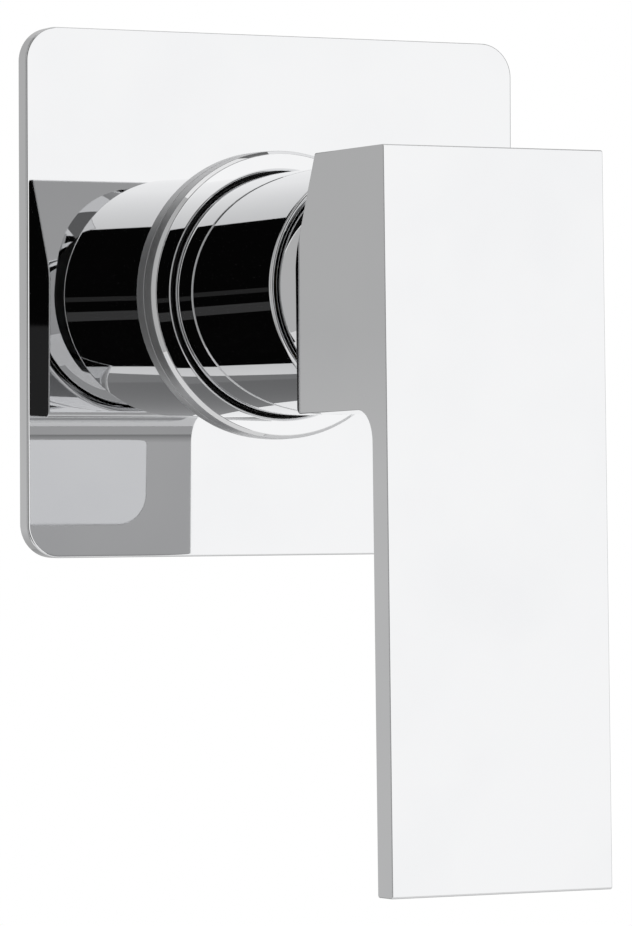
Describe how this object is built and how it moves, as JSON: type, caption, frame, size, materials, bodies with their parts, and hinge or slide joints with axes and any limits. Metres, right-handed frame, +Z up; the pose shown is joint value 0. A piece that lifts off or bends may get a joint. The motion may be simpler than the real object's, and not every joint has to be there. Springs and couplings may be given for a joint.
{
  "type": "concealed shower mixer",
  "caption": "Single-lever concealed shower mixer: brass in-wall body with ceramic cartridge, chromed square wall plate, ring, round sleeve and flat block-and-blade lever.",
  "frame": {"origin": "on the sleeve axis, in the plane of the finished wall where the plate's rim rests", "axes": "+Z up, +Y into the wall, the lever points out along -Y with its blade hanging down"},
  "size_m": [0.1034, 0.1265, 0.1582],
  "materials": {
    "chrome": "polished",
    "brass": "satin",
    "white_plastic": "satin",
    "grey_plastic": "satin",
    "plug_plastic": "satin",
    "ceramic": "polished",
    "foam": "matte",
    "rubber": "matte",
    "steel": "satin"
  },
  "bodies": {
    "wall_unit": {"wall_plate": "chrome", "flange_ring": "chrome", "sleeve": "chrome", "dome_cap": "chrome", "valve_body": "brass", "hot_inlet_end": "brass", "cold_inlet_end": "brass", "outlet_end": "brass", "cartridge_nut": "brass", "cartridge_base": "white_plastic", "cartridge_housing": "white_plastic", "fixed_disc": "ceramic", "plate_gasket": "foam", "flange_seal": "rubber", "sleeve_o_rings": "rubber", "hot_port_seal": "rubber", "cold_port_seal": "rubber", "outlet_port_seal": "rubber"},
    "turret": {"turret": "grey_plastic", "pivot_pin": "steel"},
    "lever": {"lever_stem": "brass", "stem_adapter": "grey_plastic", "handle": "chrome", "grub_screw": "steel", "screw_plug": "plug_plastic"},
    "disc": {"disc_carrier": "grey_plastic", "moving_disc": "ceramic"}
  },
  "joints": [
    {"name": "temperature_turn", "type": "hinge", "parent": "wall_unit", "child": "turret", "pos_m": [0, -0.0395, 0], "axis": [0, -1, 0], "range_deg": [-50, 50]},
    {"name": "flow_lift", "type": "hinge", "parent": "turret", "child": "lever", "pos_m": [0, -0.0395, 0], "axis": [-1, 0, 0], "range_deg": [0, 22]},
    {"name": "disc_slide", "type": "slide", "parent": "turret", "child": "disc", "axis": [0, 0, -1], "range_m": [0, 0.0034]}
  ],
  "couplings": [
    {"joint": "disc_slide", "follows": "flow_lift", "m_per_rad": 0.0087441}
  ]
}
